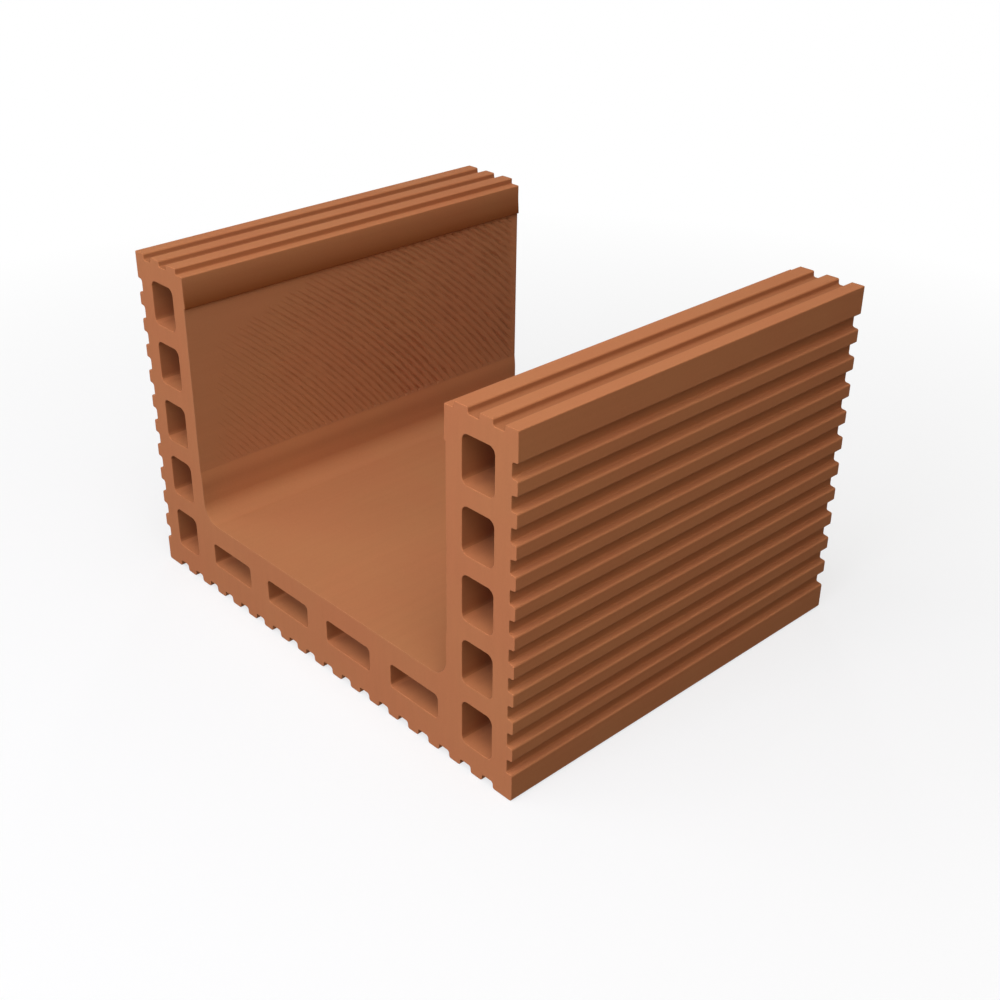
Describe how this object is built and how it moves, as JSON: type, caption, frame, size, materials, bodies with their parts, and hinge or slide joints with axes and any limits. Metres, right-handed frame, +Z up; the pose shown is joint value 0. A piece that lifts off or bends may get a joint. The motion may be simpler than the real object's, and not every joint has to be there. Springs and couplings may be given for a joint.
{
  "type": "hollow clay channel block",
  "caption": "Fired hollow clay channel block: ribbed U section with rows of through cells in the walls and base, and an open trough for a reinforced beam.",
  "frame": {"origin": "middle of the sole, the 290 x 240 mm face on which the block stands", "axes": "+X across the section towards the right wall, +Y along the extrusion away from the pictured end, +Z up out of the open channel"},
  "size_m": [0.29, 0.24, 0.19],
  "materials": {
    "fired_clay": "matte unglazed terracotta, slightly gritty, with fine drag lines along the extrusion"
  },
  "bodies": {
    "root": {"clay_channel_block": "fired_clay"}
  },
  "joints": []
}
